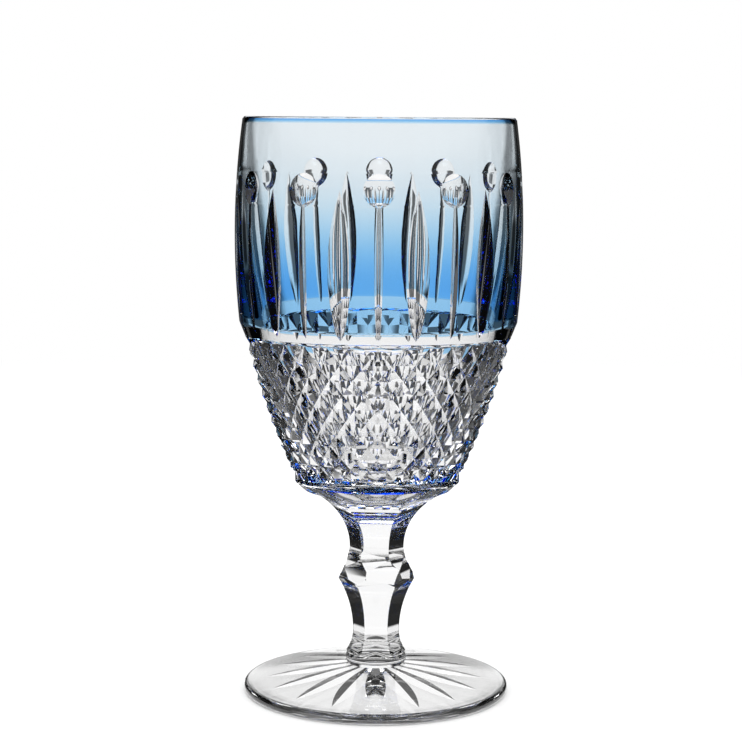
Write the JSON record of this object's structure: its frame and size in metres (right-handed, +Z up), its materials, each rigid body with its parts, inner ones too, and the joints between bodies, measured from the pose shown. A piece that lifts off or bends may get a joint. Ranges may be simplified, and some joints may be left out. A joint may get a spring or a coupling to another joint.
{
  "type": "goblet",
  "caption": "Stemmed cut-crystal drinking goblet: clear bowl cased in blue glass with cut punties, lancets and diamonds, fluted stem with a knop, star-cut foot.",
  "frame": {"origin": "centre of the foot's flat underside, on the table", "axes": "+Z up along the goblet's axis of revolution, the front with a punty on its centre line faces -Y"},
  "size_m": [0.0888, 0.0888, 0.18],
  "materials": {
    "clear_crystal": "polished clear crystal, wheel cut",
    "blue_casing_glass": "polished blue casing glass, cut through to the clear crystal"
  },
  "bodies": {
    "root": {"bowl": "clear_crystal", "blue_casing": "blue_casing_glass", "stem": "clear_crystal", "merese": "clear_crystal", "foot": "clear_crystal"}
  },
  "joints": []
}
